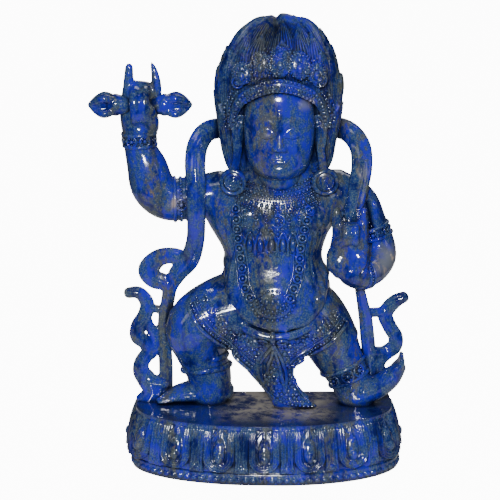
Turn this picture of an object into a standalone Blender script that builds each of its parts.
# A carved stone statue of a wrathful guardian holding a ritual sceptre, with its lotus plinth.
# Figure, scarf and plinth are cut from one block of lapis lazuli, so they are one solid.
# Metres, +Z up. The viewer looks along +Y, and the origin is in the middle of the underside.

import math

import bmesh
import bpy
from mathutils import Euler, Matrix, Vector

# Driving dimensions of the plinth
PLINTH_WIDTH = 0.1118
PLINTH_HEIGHT = 0.026
PLINTH_BOW = 0.0305
PLINTH_BACK = 0.022
WIDEST_LINE_Y = 0.005
BACK_CORNER_RADIUS = 0.006
RIM_HEIGHT = 0.0055
RIM_REACH = 0.0027
RIM_EXTRA_RIGHT = 0.0044
BELT_REACH = 0.0022
PLATE_THICKNESS = 0.0030
PETAL_PITCH = 0.0186
PETAL_WIDTH = 0.0140
PETAL_REACH = 0.0042
PETAL_LIP = 0.0011

# Driving dimension of the figure, from the plinth's top to the tip of the hair.
# Its pose and carving are given in parts: 174 of them make the figure's height.
FIGURE_HEIGHT = 0.174
PARTS_TALL = 174.0
ONE_PART = FIGURE_HEIGHT / PARTS_TALL

# How finely the stone is cut
GRAIN = 0.0008
TRIANGLES = 9400
SOFTENING = 0.5
POLISHING_PASSES = 2
SAW_DEPTH = 0.010
PLINTH_SKIRTING = 0.001

STONE_BLUE = (0.018, 0.045, 0.300, 1.0)
STONE_ROUGHNESS = 0.18


def clear_scene():
    for old in list(bpy.data.objects):
        bpy.data.objects.remove(old, do_unlink=True)


def place(x, y, z):
    """A point of the figure, in its parts, measured from the middle of the plinth's top."""
    return Vector((x, y, z)) * ONE_PART + Vector((0, 0, PLINTH_HEIGHT))


def between(a, b, c, d, t):
    """The Catmull-Rom curve from b to c, for one number of a route."""
    return 0.5 * (2 * b + (c - a) * t + (2 * a - 5 * b + 4 * c - d) * t**2 + (3 * b - a - 3 * c + d) * t**3)


def smooth_route(stations, steps):
    """A smooth line through the stations, each a tuple of the same length."""
    ends = [stations[0], *stations, stations[-1]]
    line = []
    for first in range(len(stations) - 1):
        a, b, c, d = ends[first : first + 4]
        for step in range(steps):
            line.append([between(*numbers, step / steps) for numbers in zip(a, b, c, d)])
    line.append(list(stations[-1]))
    return line


def join_rings(shape, rings):
    """Skins a row of rings and closes both ends."""
    for low, high in zip(rings, rings[1:]):
        for i in range(len(low)):
            j = (i + 1) % len(low)
            shape.faces.new((low[i], low[j], high[j], high[i]))
    shape.faces.new(rings[0][::-1])
    shape.faces.new(rings[-1])


def tube(shape, centres, sizes, sides, facing):
    """A bar through the centres with rounded ends; sizes are half widths and half depths along facing."""
    rings = []
    last = len(centres) - 1
    for i, centre in enumerate(centres):
        along = (centres[min(i + 1, last)] - centres[max(i - 1, 0)]).normalized()
        depth_way = Vector(facing)
        depth_way = (depth_way - along * depth_way.dot(along)).normalized()
        width_way = along.cross(depth_way)
        half_width, half_depth = sizes[i]
        slices = [(0.0, 1.0)]
        if i == 0:
            slices = [(-0.94, 0.35), (-0.62, 0.78), (0.0, 1.0)]
        if i == last:
            slices = [(0.0, 1.0), (0.62, 0.78), (0.94, 0.35)]
        for shift, scale in slices:
            middle = centre + along * shift * min(half_width, half_depth)
            ring = []
            for side in range(sides):
                turn = 2 * math.pi * side / sides
                out = width_way * half_width * math.cos(turn) + depth_way * half_depth * math.sin(turn)
                ring.append(shape.verts.new(middle + out * scale))
            rings.append(ring)
    join_rings(shape, rings)


def bar(shape, stations, sides=10, steps=3, facing=(0, 1, 0)):
    """A bar of the figure: each station is (x, y, z, half width, half depth) in its parts."""
    line = smooth_route(stations, steps)
    centres = [place(*entry[:3]) for entry in line]
    sizes = [(max(entry[3], 0.3) * ONE_PART, max(entry[4], 0.3) * ONE_PART) for entry in line]
    tube(shape, centres, sizes, sides, facing)


def round_bar(shape, stations, **options):
    """A bar with a round section: each station is (x, y, z, radius)."""
    bar(shape, [(x, y, z, r, r) for x, y, z, r in stations], **options)


def ball(shape, centre, radii, turn=(0, 0, 0), segments=16):
    """An egg-shaped swelling. Its turn is in degrees about X, Y and Z."""
    spin = Euler([math.radians(angle) for angle in turn]).to_quaternion()
    size = Vector(radii) * ONE_PART
    where = Matrix.LocRotScale(place(*centre), spin, size)
    bmesh.ops.create_uvsphere(
        shape, u_segments=segments, v_segments=segments * 2 // 3, radius=1.0, matrix=where
    )


def plan_outline():
    """The plinth's outline seen from above: a bowed front and a squared back, closely spaced."""
    half = PLINTH_WIDTH / 2
    back = WIDEST_LINE_Y + PLINTH_BACK
    corner = BACK_CORNER_RADIUS
    outline = []
    for i in range(181):
        turn = math.pi * (1 + i / 180)
        outline.append(Vector((half * math.cos(turn), WIDEST_LINE_Y + PLINTH_BOW * math.sin(turn))))
    for way in (1, -1):
        for i in range(19):
            turn = math.pi / 2 * (i / 18 if way == 1 else 1 + i / 18)
            centre = Vector((way * (half - corner), back - corner))
            outline.append(centre + corner * Vector((math.cos(turn), math.sin(turn))))
    return outline


class Belt:
    """Places on the plinth's side, by the distance along it from the middle of the front."""

    def __init__(self, outline):
        self.closed = [*outline, outline[0]]
        self.reach = [0.0]
        for a, b in zip(self.closed, self.closed[1:]):
            self.reach.append(self.reach[-1] + (b - a).length)
        self.length = self.reach[-1]
        self.front = self.reach[90]

    def point(self, distance):
        want = (self.front + distance) % self.length
        piece = max(i for i, reach in enumerate(self.reach[:-1]) if reach <= want)
        share = (want - self.reach[piece]) / (self.reach[piece + 1] - self.reach[piece])
        return self.closed[piece].lerp(self.closed[piece + 1], share)

    def out(self, distance):
        along = self.point(distance + 0.002) - self.point(distance - 0.002)
        return Vector((along.y, -along.x)).normalized()

    def place(self, distance, reach, z):
        spot = self.point(distance) + self.out(distance) * reach
        return Vector((spot.x, spot.y, z))


def plinth_body(shape, belt):
    """Rim, belt and top plate, as rings around the plan. The rim was left fuller on the viewer's right."""
    plate_low = PLINTH_HEIGHT - PLATE_THICKNESS
    profile = [
        (-PLINTH_SKIRTING, 0.8 * RIM_REACH),
        (0.15 * RIM_HEIGHT, RIM_REACH),
        (0.80 * RIM_HEIGHT, RIM_REACH),
        (RIM_HEIGHT, 0.7 * RIM_REACH),
        (1.2 * RIM_HEIGHT, BELT_REACH),
        (0.6 * PLINTH_HEIGHT, 0.8 * BELT_REACH),
        (plate_low, -0.2 * BELT_REACH),
        (plate_low + 0.25 * PLATE_THICKNESS, 0.0),
        (PLINTH_HEIGHT - 0.2 * PLATE_THICKNESS, 0.0),
        (PLINTH_HEIGHT, -0.2 * PLATE_THICKNESS),
    ]
    rings = []
    for z, reach in profile:
        ring = []
        for i in range(160):
            distance = belt.length * i / 160
            side = max(0.0, 2 * belt.point(distance).x / PLINTH_WIDTH)
            side *= 1 - max(0.0, belt.out(distance).y)
            fuller = RIM_EXTRA_RIGHT * side * (1 - 0.70 * side) if z < 1.1 * RIM_HEIGHT else 0.0
            ring.append(shape.verts.new(belt.place(distance, reach + fuller, z)))
        rings.append(ring)
    join_rings(shape, rings)


def petal_lean(share):
    """How far a petal stands out, from its rounded tip at the bottom to its root under the plate."""
    return PETAL_REACH * (1 - ((share - 0.22) / 0.82) ** 2)


def petal(shape, belt, distance, half_width, low, high):
    """A hanging petal: a slab with a rounded lower end, following the belt."""
    tip = min(1.0, half_width / (high - low))
    rows = []
    for step in range(11):
        share = step / 10
        z = low + (high - low) * share
        fill = 1.0 if share > tip else math.sqrt(1 - (1 - share / tip) ** 2)
        width = max(half_width * fill, 0.0005)
        reach = petal_lean(share) * 0.72
        front = [belt.place(distance + width * across, reach, z) for across in (-1, -0.5, 0, 0.5, 1)]
        rear = [belt.place(distance + width * across, -0.004, z) for across in (1, 0, -1)]
        rows.append([shape.verts.new(spot) for spot in front + rear])
    join_rings(shape, rows)


def petal_lip(shape, belt, distance, half_width, low, high, thickness):
    """The raised lip along the petal's edge, a U that is open at the top."""
    tall = high - low
    route = []
    for step in range(6):
        route.append((-half_width, high - (tall - half_width) * step / 6))
    for step in range(9):
        turn = math.pi * (1 + step / 8)
        route.append((half_width * math.cos(turn), low + half_width * (1 + math.sin(turn))))
    for step in range(1, 7):
        route.append((half_width, low + half_width + (tall - half_width) * step / 6))
    centres = [belt.place(distance + across, petal_lean((z - low) / tall) * 0.72, z) for across, z in route]
    tube(shape, centres, [(thickness, thickness)] * len(centres), 8, (0.02, 0.01, 1))


def lotus_belt(shape, belt):
    """Broad petals all round the belt, with a narrow one of the row behind between each two."""
    count = round(belt.length / PETAL_PITCH)
    pitch = belt.length / count
    low = RIM_HEIGHT + 0.0006
    high = PLINTH_HEIGHT - 0.7 * PLATE_THICKNESS
    tall = high - low
    half = PETAL_WIDTH / 2 - PETAL_LIP
    for i in range(count):
        middle = pitch * i
        petal(shape, belt, middle, half, low + PETAL_LIP, high)
        petal_lip(shape, belt, middle, half, low + PETAL_LIP, high, PETAL_LIP)
        heart = belt.place(middle, 0.66 * PETAL_REACH, low + 0.46 * tall)
        out = belt.out(middle)
        spin = Matrix.Rotation(math.atan2(out.y, out.x), 4, "Z")
        size = Matrix.Diagonal((0.0018, 0.24 * PETAL_WIDTH, 0.30 * tall, 1.0))
        where = Matrix.Translation(heart) @ spin @ size
        bmesh.ops.create_uvsphere(shape, u_segments=12, v_segments=8, radius=1.0, matrix=where)
        petal(shape, belt, middle + pitch / 2, 0.09 * pitch, low, high)


# The trunk from the hips to the neck: height, left edge, right edge, front and back, in parts
TRUNK = [
    (30, -14, 24, -3, 24),
    (38, -18.5, 28.2, -7.2, 26),
    (44, -19.4, 29.2, -8.8, 27),
    (50, -19.4, 29.4, -9.4, 27),
    (56, -18.9, 28.8, -9.0, 26),
    (61, -18.0, 27.2, -8.0, 25),
    (66.4, -16.9, 25.1, -6.6, 24),
    (71.8, -18.3, 25.4, -5.8, 23.4),
    (77.2, -21.4, 27.4, -5.4, 23.6),
    (82, -24.2, 30.4, -5.2, 24),
    (87, -26.4, 33.6, -4.8, 24),
    (92, -27.4, 36.0, -3.8, 23.5),
    (97, -26.0, 36.2, -2.0, 22.5),
    (101, -21.5, 32.5, 0.6, 21.5),
    (104.5, -14, 26, 2.6, 20),
    (108, -7, 20, 3.6, 18),
]
SQUARENESS = 2.3

# Round belly and both halves of the chest: the middle of each swelling and its half sizes, in parts
SWELLINGS = [
    ((5, 4.4, 50), (21, 14.8, 16)),
    ((-6.5, 2.4, 87), (12.5, 7.8, 8)),
    ((16.5, 2.4, 87), (12.5, 7.8, 8)),
]


def torso(shape):
    """A trunk with a full section, and the swellings that lie on it."""
    rings = []
    for z, left, right, front, back in smooth_route(TRUNK, 3):
        ring = []
        for side in range(48):
            turn = 2 * math.pi * side / 48
            c, s = math.cos(turn), math.sin(turn)
            fill = (abs(c) ** SQUARENESS + abs(s) ** SQUARENESS) ** (-1 / SQUARENESS)
            x = (left + right) / 2 + (right - left) / 2 * c * fill
            y = (front + back) / 2 + (back - front) / 2 * s * fill
            ring.append(shape.verts.new(place(x, y, z)))
        rings.append(ring)
    join_rings(shape, rings)
    for centre, radii in SWELLINGS:
        ball(shape, centre, radii, segments=24)


def front_of_torso(x, z):
    """How far forward the body's skin is at this place, in parts."""
    step = max(i for i in range(len(TRUNK) - 1) if TRUNK[i][0] <= z)
    share = (z - TRUNK[step][0]) / (TRUNK[step + 1][0] - TRUNK[step][0])
    left, right, front, back = (
        low + (high - low) * share for low, high in zip(TRUNK[step][1:], TRUNK[step + 1][1:])
    )
    across = abs(2 * x - left - right) / (right - left)
    reach = max(0.0, 1 - across**SQUARENESS) ** (1 / SQUARENESS)
    skin = [(front + back) / 2 - (back - front) / 2 * reach]
    for (cx, cy, cz), (rx, ry, rz) in SWELLINGS:
        rest = 1 - ((x - cx) / rx) ** 2 - ((z - cz) / rz) ** 2
        if rest > 0:
            skin.append(cy - ry * math.sqrt(rest))
    return min(skin)


def raised_arm(shape):
    """The arm on the viewer's left, bent at the elbow, with its hand up beside the head."""
    round_bar(
        shape,
        [
            (-18, 12, 94.5, 10.0),
            (-31, 11, 92.8, 9.3),
            (-41.4, 9.5, 92.4, 9.3),
            (-47.8, 8.5, 98, 9.6),
            (-50.4, 8, 107, 8.8),
            (-53.2, 8, 115.5, 7.0),
            (-53.8, 8, 124, 6.9),
        ],
        sides=14,
    )
    round_bar(shape, [(-54, 8, 117, 7.6), (-54, 8, 119.5, 7.8)], steps=1, sides=14)
    ring = [(-33.5, 10.8, 92.8, 9.9), (-36, 10.5, 92.6, 10.2), (-38.5, 10, 92.5, 9.9)]
    round_bar(shape, ring, steps=1, sides=14)


def raised_hand(shape):
    """First and last finger stand up, the two between them are folded round the sceptre."""
    bar(shape, [(-54, 7.5, 121, 6.8, 6.2), (-53.6, 7, 131, 8.6, 5.2), (-52.8, 7, 141.5, 8.0, 3.6)], sides=12)
    round_bar(shape, [(-58.2, 6.5, 134, 3.0), (-58.0, 6.2, 143, 2.5), (-57.6, 6.4, 151, 1.8)])
    round_bar(
        shape,
        [(-47.2, 6.5, 133, 2.8), (-46.0, 6.2, 142, 2.3), (-46.8, 6.4, 149, 1.6), (-48.0, 6.6, 152.6, 0.8)],
    )
    for x in (-55.0, -51.2):
        round_bar(
            shape,
            [(x, 6, 141, 2.4), (x, 1.0, 140.4, 2.5), (x, -1.4, 136, 2.4), (x + 0.2, 0.6, 130.5, 2.3)],
            facing=(1, 0, 0),
        )
    round_bar(
        shape,
        [(-48.5, 5, 124.5, 2.9), (-48.2, 1.2, 129, 2.6), (-49.2, -0.6, 135, 2.1)],
        facing=(1, 0, 0),
    )


def sceptre(shape):
    """A short ritual thunderbolt: a grip with a ribbed bud at each end."""
    round_bar(shape, [(-66, 4.5, 135, 3.0), (-40, 4.5, 135, 3.0)], steps=1)
    for way in (-1, 1):
        middle = -53
        round_bar(
            shape,
            [(middle + way * 8.6, 4.5, 135, 4.6), (middle + way * 10.6, 4.5, 135, 4.9)],
            steps=1,
            sides=12,
        )
        ball(shape, (middle + way * 15.6, 4.5, 135), (5.6, 4.0, 4.2), segments=12)
        for lobe in range(4):
            turn = math.pi / 4 + math.pi / 2 * lobe
            side, up = math.cos(turn), math.sin(turn)
            rib = []
            for out, lift, size in ((11.5, 3.0, 2.1), (15.2, 4.7, 2.2), (18.4, 3.0, 1.9), (21.2, 0.2, 1.2)):
                rib.append((middle + way * out, 4.5 + lift * side, 135 + lift * up, size))
            round_bar(shape, rib, facing=(0, side, up), sides=8)


def lowered_arm(shape):
    """The arm on the viewer's right: elbow out and behind, forearm coming forward to the raised palm."""
    round_bar(
        shape,
        [
            (30, 12, 95.5, 10.0),
            (40.8, 13, 90.5, 8.4),
            (46.2, 14, 81, 7.2),
            (49.8, 14, 73, 6.8),
            (50.8, 11.5, 66.4, 6.9),
            (47.2, 3, 62.4, 6.2),
            (41, -6, 62, 5.7),
            (37, -11, 65, 5.8),
        ],
        sides=14,
        facing=(0.3, 0.3, 1),
    )
    round_bar(shape, [(47.4, 14, 79.2, 7.9), (48.8, 14, 76, 7.8)], steps=1, sides=14, facing=(0, 1, 0))
    round_bar(shape, [(44.2, -1.5, 62.2, 6.7), (42.4, -4, 62.1, 6.7)], steps=1, sides=14, facing=(0, 0, 1))


def lowered_hand(shape):
    """An open hand in front of the shoulder, palm outward, with its first and last finger up."""
    bar(
        shape,
        [(36.4, -11.5, 66, 8.6, 4.6), (36.3, -11.5, 74, 9.0, 4.6), (36.6, -11.2, 84, 7.6, 3.6)],
        sides=12,
    )
    round_bar(shape, [(31.6, -11.5, 82, 2.9), (31.0, -11.8, 88, 2.4), (30.6, -11.6, 92.4, 1.8)])
    round_bar(shape, [(42.0, -10.6, 80, 2.8), (42.3, -10.4, 87, 2.3), (42.3, -10.2, 92.2, 1.6)])
    for x in (35.0, 38.6):
        round_bar(
            shape,
            [(x, -12, 83.5, 2.3), (x, -15.4, 86, 2.3), (x, -17.2, 83, 2.2), (x, -16.0, 79.5, 1.9)],
            facing=(1, 0, 0),
        )
    round_bar(
        shape,
        [(29.6, -11.5, 68, 3.2), (29.4, -13.5, 74, 2.9), (32.0, -15.8, 79.5, 2.2)],
        facing=(1, 0, 0),
    )


def bent_leg(shape):
    """The leg on the viewer's left: knee out, foot flat on the plinth."""
    round_bar(
        shape,
        [
            (-2, 12, 46, 15.5),
            (-17, 9, 43.4, 14.8),
            (-30.3, 5, 36.6, 12.7),
            (-28.3, 9, 25, 10.8),
            (-24.4, 12, 14, 9.9),
            (-23.8, 13, 5, 9.4),
        ],
        sides=16,
        facing=(0.2, 1, 0.1),
    )
    round_bar(shape, [(-23.6, 12.6, 12.4, 11.0), (-23.5, 12.8, 14.6, 11.0)], steps=1, sides=16)
    bar(
        shape,
        [
            (-17.5, 13.5, 4.6, 6.4, 4.6),
            (-26, 13, 5.0, 7.6, 5.4),
            (-36, 12, 3.8, 6.8, 4.2),
            (-42.5, 11.5, 2.4, 5.4, 2.8),
        ],
        sides=14,
        facing=(0, 0, 1),
    )
    for toe in range(5):
        y = 6.6 + 2.5 * toe
        tip = -46.4 + 0.5 * abs(toe - 1)
        round_bar(shape, [(-41, y, 2.2, 1.6), (tip, y - 0.4, 1.5, 1.4)], steps=1, sides=8)


def straight_leg(shape):
    """The leg on the viewer's right: stretched out, standing on its heel with the toes raised."""
    round_bar(
        shape,
        [
            (12, 12, 45, 15.5),
            (25.2, 10, 35, 13.4),
            (31.6, 10, 23.5, 11.2),
            (37.6, 10.4, 11.5, 9.1),
            (40.8, 10.6, 3.4, 8.6),
        ],
        sides=16,
    )
    round_bar(shape, [(35.0, 10.2, 15.6, 10.6), (35.9, 10.3, 13.4, 10.6)], steps=1, sides=16)
    bar(
        shape,
        [
            (42, 10, 4.4, 8.4, 5.4),
            (49.5, 9, 7.6, 7.4, 5.4),
            (55.6, 8, 12.2, 6.8, 4.6),
            (59.4, 7.6, 16.6, 5.4, 3.0),
        ],
        sides=14,
        facing=(-0.6, 0, 0.8),
    )
    for toe in range(5):
        y = 2.8 + 2.4 * toe
        round_bar(
            shape,
            [(57.4, y, 16.4, 1.6), (60.0, y - 0.3, 19.2, 1.5), (60.4, y - 0.5, 22.0, 1.2)],
            sides=8,
            facing=(1, 0, 0),
        )


def skirt(shape):
    """A spotted hide round the hips, its hem across both thighs, its end hanging down to the plinth."""
    round_bar(
        shape,
        [(-1, 11.5, 44, 17.0), (-13, 9.4, 42.5, 16.2), (-23, 7.4, 40, 14.8)],
        sides=18,
        facing=(0.2, 1, 0.1),
    )
    round_bar(shape, [(12, 11.5, 44, 17.0), (21, 10.3, 38.5, 15.6), (28.5, 9.8, 31.0, 13.0)], sides=18)
    bar(
        shape,
        [
            (3.2, -1.5, 32, 20.0, 6.5),
            (3.0, -1.2, 25.0, 15.6, 5.2),
            (3.4, 0.0, 19.5, 10.8, 4.2),
            (5.2, 1.0, 14, 7.8, 3.8),
            (7.6, 2.4, 9, 7.1, 3.6),
            (10.2, 3.6, 4.5, 7.2, 3.6),
            (12.4, 4.6, 0.4, 8.6, 3.8),
        ],
        sides=14,
    )
    waistband = [
        (-12, 14, 56, 2.0),
        (-16.6, 3.4, 48, 2.0),
        (-9, -5.4, 39.2, 2.0),
        (4.5, -8.0, 35.0, 2.1),
        (18, -5.4, 38.2, 2.0),
        (25.6, 3.4, 46.5, 2.0),
        (22, 14, 54, 2.0),
    ]
    round_bar(shape, waistband, facing=(0, 0, 1))
    left_hem = [
        (-30.5, 9, 49.5, 1.5),
        (-28, -3.6, 45, 1.6),
        (-22, -6.2, 38.5, 1.6),
        (-16, -4.6, 31, 1.7),
        (-10.5, -1.6, 25, 1.7),
        (-4, -1.0, 18, 1.6),
    ]
    round_bar(shape, left_hem, facing=(0, 0, 1))
    right_hem = [
        (36.5, 9, 41.5, 1.5),
        (34, -0.6, 36.5, 1.6),
        (28.5, -3.2, 31, 1.6),
        (22.5, -3.2, 26.5, 1.7),
        (16.5, -1.8, 23.5, 1.7),
        (11, -1.0, 20, 1.6),
    ]
    round_bar(shape, right_hem, facing=(0, 0, 1))
    tie = [
        (0.5, -9, 31, 2.6, 2.2),
        (1.5, -8.5, 25, 3.4, 2.6),
        (5.5, -4.4, 16, 3.2, 2.2),
        (9.5, -1, 6, 2.6, 1.6),
    ]
    bar(shape, tie, sides=8)


def hair(shape):
    """The upswept mass of hair with its flame-like locks."""
    levels = [
        (106, 19.5, 10.0),
        (112, 22.6, 12.6),
        (120, 23.4, 14.6),
        (130, 24.6, 15.8),
        (140, 25.2, 16.2),
        (149, 23.6, 15.6),
        (158, 19.4, 13.4),
        (165, 13.6, 10.0),
        (170, 7.6, 6.0),
        (173, 3.0, 2.4),
    ]
    rings = []
    for z, half_width, half_depth in levels:
        ring = []
        for side in range(32):
            turn = 2 * math.pi * side / 32
            middle = 5.9 if z < 145 else 7.0
            spot = place(middle + half_width * math.cos(turn), 9.4 + half_depth * math.sin(turn), z)
            ring.append(shape.verts.new(spot))
        rings.append(ring)
    join_rings(shape, rings)
    ball(shape, (8, 9, 167.3), (6.8, 6.4, 6.8))
    for lock in range(24):
        hair_lock(shape, 2 * math.pi * (lock + 0.5) / 24, lock)


def hair_lock(shape, turn, number):
    """One lock: it rises from the shoulder, or from behind the crown in front, and curls in at the top."""
    in_front = math.sin(turn) < -0.62
    lows = (146, 152, 159, 165.5, 171.5) if in_front else (110, 124, 139, 153, 164, 171)
    stations = []
    for step, z in enumerate(lows):
        lift = max(0.0, 1 - ((z - 139) / 35.4) ** 2) ** 0.62 if z > 139 else 1 - 0.1 * (139 - z) / 29
        lean = turn + 0.10 * math.sin(1.7 * step + 1.3 * number) + 0.006 * (z - 139)
        x = (5.9 if z < 145 else 7.4) + 25.0 * lift * math.cos(lean)
        y = 9.4 + 15.8 * lift * math.sin(lean)
        stations.append((x, y, z, 3.4 if step < len(lows) - 2 else 2.7 - 0.9 * (step - len(lows) + 2)))
    facing = (math.cos(turn), math.sin(turn), 0.3)
    round_bar(shape, stations, sides=8, steps=2, facing=facing)


def head(shape):
    """Face, long ears, crown and the round earrings that lie on the shoulders."""
    ball(shape, (6.4, 3.4, 122.4), (13.6, 12.6, 19.4), segments=20)
    ball(shape, (6.4, -3.2, 110.2), (6.4, 5.2, 5.6))
    round_bar(
        shape,
        [(6.4, -8.2, 127, 1.5), (6.4, -10.0, 120.4, 2.0), (6.4, -10.2, 118.0, 2.5)],
        facing=(0, 1, 0),
    )
    for way in (-1, 1):
        x = 6.4
        ball(shape, (x + way * 2.4, -9.0, 117.8), (1.7, 1.7, 1.5), segments=10)
        ball(shape, (x + way * 5.4, -7.6, 124.2), (3.3, 1.7, 1.7), segments=12)
        round_bar(
            shape,
            [
                (x + way * 1.8, -8.8, 128.0, 0.9),
                (x + way * 5.6, -8.2, 129.8, 1.0),
                (x + way * 9.8, -5.4, 128.2, 0.8),
            ],
        )
        ball(shape, (x + way * 7.6, -4.6, 115.4), (4.6, 4.2, 5.2), segments=12)
        bar(
            shape,
            [
                (x + way * 14.2, 0.6, 130, 2.6, 3.4),
                (x + way * 15.6, 0.4, 120, 3.2, 3.4),
                (x + way * 17.4, 0.6, 110, 2.6, 2.8),
            ],
            sides=10,
        )
        ball(shape, (x + way * 20.2, -0.2, 101.2), (6.4, 3.4, 6.6), segments=16)
    bar(
        shape,
        [(3.2, -7.9, 113.2, 1.0, 1.2), (6.4, -9.6, 113.4, 1.3, 1.4), (9.6, -7.9, 113.2, 1.0, 1.2)],
        facing=(0, 1, 0),
    )
    crown(shape)


def crown(shape):
    """An arched band over the forehead with five plaques."""
    band = [
        (-12.5, 0.5, 131, 2.2, 2.2),
        (-6.5, -6.6, 137, 2.3, 2.2),
        (6.4, -10.2, 141.4, 2.4, 2.2),
        (19.3, -6.6, 137, 2.3, 2.2),
        (25.3, 0.5, 131, 2.2, 2.2),
    ]
    bar(shape, band, facing=(0, 1, 0))
    for step in range(-2, 3):
        turn = step * 0.60
        x = 6.4 + 22.0 * math.sin(turn)
        y = 9.4 - 19.0 * math.cos(turn)
        z = 147.5 - 3.2 * abs(step) ** 1.3
        tall = 6.2 if step == 0 else 5.0
        ball(shape, (x, y, z), (4.3, 2.2, tall), turn=(0, 0, math.degrees(turn)), segments=12)


def scarf_left(shape):
    """The scarf on the viewer's left: behind the head, down over the arm, a loop, and a wavy tail."""
    bar(
        shape,
        [
            (6.4, 25.6, 119, 4.6, 2.6),
            (-9, 22.5, 121, 4.4, 2.6),
            (-19, 15, 122.6, 4.6, 2.8),
            (-25.0, 9.5, 121.8, 4.6, 2.8),
            (-28.6, 4.5, 117.0, 4.6, 2.8),
            (-29.6, 1, 110, 4.5, 2.8),
            (-29.2, -1.5, 102, 4.3, 2.8),
            (-29.3, -2, 93, 4.0, 2.8),
            (-29.2, 0, 84, 4.0, 2.8),
            (-29.8, 3, 75, 4.0, 2.8),
            (-32.4, 7, 66, 4.4, 2.8),
            (-37.4, 9, 59.5, 4.0, 2.8),
            (-40.8, 10, 53, 3.2, 2.6),
            (-42, 11, 46.5, 3.0, 2.6),
            (-43.4, 13, 38.5, 3.0, 2.6),
            (-43.8, 14, 27.5, 3.0, 2.6),
            (-43.2, 14, 16, 3.1, 2.6),
            (-43.4, 14, -1, 3.2, 2.6),
        ],
    )
    loop = [
        (-33.0, 8, 64.9, 4.0, 2.6),
        (-39.5, 9, 67.2, 3.6, 2.6),
        (-46.0, 10, 65.8, 4.0, 2.6),
        (-50.2, 10, 60.8, 4.7, 2.6),
        (-48.2, 10, 56.6, 4.2, 2.6),
        (-43.6, 10, 54.8, 3.8, 2.6),
        (-40.6, 10, 51.5, 2.8, 2.6),
    ]
    bar(shape, loop)
    tail = [
        (-59.4, 12, 49.6, 2.5, 2.0),
        (-54.6, 12, 49.6, 2.8, 2.2),
        (-51.2, 12, 45.0, 3.2, 2.2),
        (-52.2, 12, 39.5, 3.3, 2.2),
        (-55.2, 12, 34.5, 3.3, 2.2),
        (-55.4, 12, 29.8, 3.4, 2.2),
        (-52.0, 12, 26.6, 3.2, 2.2),
        (-50.8, 12, 22.8, 3.2, 2.2),
        (-53.6, 12, 18.2, 3.4, 2.2),
        (-54.0, 12, 13.8, 3.8, 2.2),
        (-51.4, 12, 9.6, 4.4, 2.2),
        (-49.0, 12, 4.6, 4.4, 2.2),
        (-51.8, 13, -1.0, 5.4, 3.0),
    ]
    bar(shape, tail)
    strand = [
        (-51.5, 13, 40, 1.8, 1.8),
        (-50.4, 13, 34.5, 2.3, 1.8),
        (-47.6, 13, 30.0, 2.6, 1.8),
        (-46.8, 13, 25.0, 2.3, 1.8),
        (-49.6, 13, 20.5, 1.9, 1.8),
    ]
    bar(shape, strand)
    round_bar(shape, [(-51, 12, 43.0, 1.9), (-43.4, 12.5, 41.5, 1.8)], steps=1)
    round_bar(shape, [(-51.0, 12.5, 9.5, 3.0), (-44, 13, 8.0, 3.0)], steps=1)


def scarf_right(shape):
    """The scarf on the viewer's right: behind the head, down to the hand, and below it to a wavy tail."""
    bar(
        shape,
        [
            (6.4, 25.6, 119, 4.6, 2.6),
            (21, 22.5, 121, 4.4, 2.6),
            (30.6, 15, 123.0, 4.7, 2.8),
            (37.0, 10.5, 121.4, 4.7, 2.8),
            (41.2, 7, 116, 4.7, 2.8),
            (41.9, 3.5, 108.5, 4.6, 2.8),
            (40.6, 0.5, 101, 4.5, 2.8),
            (38.8, -3.0, 93.5, 3.9, 2.8),
            (36.6, -6.5, 85.5, 3.4, 2.6),
            (36.4, -8.0, 78, 3.0, 2.4),
        ],
    )
    bar(
        shape,
        [
            (41.4, 0.5, 58, 2.6, 2.4),
            (42.6, 3.5, 50, 2.7, 2.4),
            (44.2, 6.5, 40, 3.0, 2.4),
            (45.4, 9, 29.5, 3.2, 2.4),
            (46.4, 10.5, 20, 3.0, 2.4),
            (47.2, 11, 11, 2.4, 2.4),
        ],
    )
    tail = [
        (61.4, 12, 47.8, 2.6, 2.0),
        (57.0, 12, 45.4, 3.2, 2.2),
        (53.2, 12, 40.2, 3.4, 2.2),
        (55.0, 12, 34.6, 3.2, 2.2),
        (57.8, 12, 29.6, 3.3, 2.2),
        (57.2, 12, 25.0, 3.4, 2.2),
        (53.2, 12, 21.8, 3.4, 2.2),
        (50.8, 12, 17.0, 2.6, 2.2),
        (52.6, 11, 11.5, 2.4, 2.2),
    ]
    bar(shape, tail)
    round_bar(shape, [(45.5, 10.5, 41.0, 2.2), (52.5, 12, 41.0, 2.2)], steps=1)
    round_bar(shape, [(46.5, 10.5, 23.0, 2.6), (52.5, 12, 22.5, 2.6)], steps=1)


def cord(shape, route, radius):
    """A cord of jewels lying on the body: the route is given as (x, z), and its ends run under the hair."""
    stations = [(x, front_of_torso(x, z) - 0.35 * radius, z, radius) for x, z in route]
    round_bar(shape, stations, sides=8, steps=4, facing=(0.02, 1, 0.01))


def jewels(shape):
    """Collar, chain and long necklace, as plain cords of stone."""
    cord(shape, [(-9, 100), (-3, 95), (5.4, 93), (14, 95), (20, 100)], 1.9)
    cord(shape, [(-12.3, 92), (-11.5, 81), (-10.4, 73), (-9.3, 65), (-8.6, 58), (-5.5, 51), (3.6, 47)], 1.5)
    cord(shape, [(19.4, 91), (17.2, 81), (16.2, 73), (15.6, 65), (14.6, 58), (11.8, 51), (3.6, 47)], 1.5)
    cord(shape, [(-10.6, 79.5), (-3.5, 77), (2.9, 76.4), (9.5, 77), (16.6, 79.5)], 1.3)
    ball(shape, (3.4, front_of_torso(3.4, 51), 51), (5.0, 1.8, 4.2), segments=12)


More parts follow.
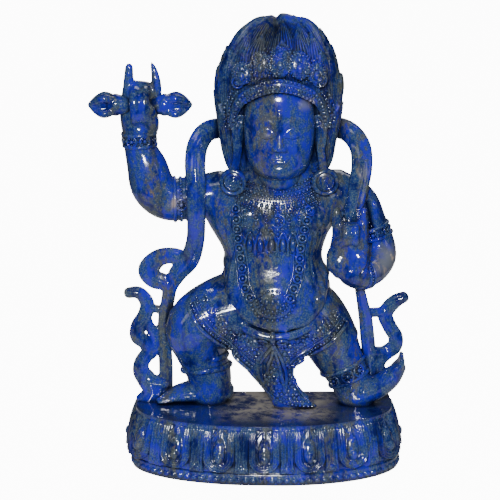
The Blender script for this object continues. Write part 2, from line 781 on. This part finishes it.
def stone_material():
    stone = bpy.data.materials.new("lapis_lazuli")
    stone.use_nodes = True
    finish = stone.node_tree.nodes["Principled BSDF"]
    finish.inputs["Base Color"].default_value = STONE_BLUE
    finish.inputs["Roughness"].default_value = STONE_ROUGHNESS
    finish.inputs["Metallic"].default_value = 0.0
    return stone


def saw_block():
    """The cutter that leaves the underside flat."""
    bpy.ops.mesh.primitive_cube_add(size=1.0, location=(0, 0, -SAW_DEPTH / 2))
    saw = bpy.context.object
    saw.name = "underside_saw"
    saw.scale = (3 * PLINTH_WIDTH, 3 * PLINTH_WIDTH, SAW_DEPTH)
    bpy.ops.object.transform_apply(location=False, rotation=False, scale=True)
    saw.hide_render = True
    saw.display_type = "WIRE"
    return saw


def triangle_count(statue):
    graph = bpy.context.evaluated_depsgraph_get()
    cut = statue.evaluated_get(graph)
    mesh = cut.to_mesh()
    count = sum(len(face.vertices) - 2 for face in mesh.polygons)
    cut.to_mesh_clear()
    return count


def carve():
    shape = bmesh.new()
    belt = Belt(plan_outline())
    plinth_body(shape, belt)
    lotus_belt(shape, belt)
    for form in (
        torso,
        raised_arm,
        raised_hand,
        sceptre,
        lowered_arm,
        lowered_hand,
        bent_leg,
        straight_leg,
        skirt,
        hair,
        head,
        scarf_left,
        scarf_right,
        jewels,
    ):
        form(shape)
    bmesh.ops.recalc_face_normals(shape, faces=shape.faces)
    mesh = bpy.data.meshes.new("vajrapani_statue")
    shape.to_mesh(mesh)
    shape.free()
    statue = bpy.data.objects.new("vajrapani_statue", mesh)
    bpy.context.scene.collection.objects.link(statue)
    statue.data.materials.append(stone_material())

    fuse = statue.modifiers.new("fuse_forms", "REMESH")
    fuse.mode = "VOXEL"
    fuse.voxel_size = GRAIN
    polish = statue.modifiers.new("polish", "SMOOTH")
    polish.factor = SOFTENING
    polish.iterations = round(POLISHING_PASSES)
    fewer = statue.modifiers.new("fewer_faces", "DECIMATE")
    fewer.show_viewport = False
    bpy.context.view_layer.update()
    fewer.ratio = min(1.0, TRIANGLES / triangle_count(statue))
    fewer.show_viewport = True
    flat = statue.modifiers.new("flat_underside", "BOOLEAN")
    flat.operation = "DIFFERENCE"
    flat.object = saw_block()
    return statue


clear_scene()
carve()
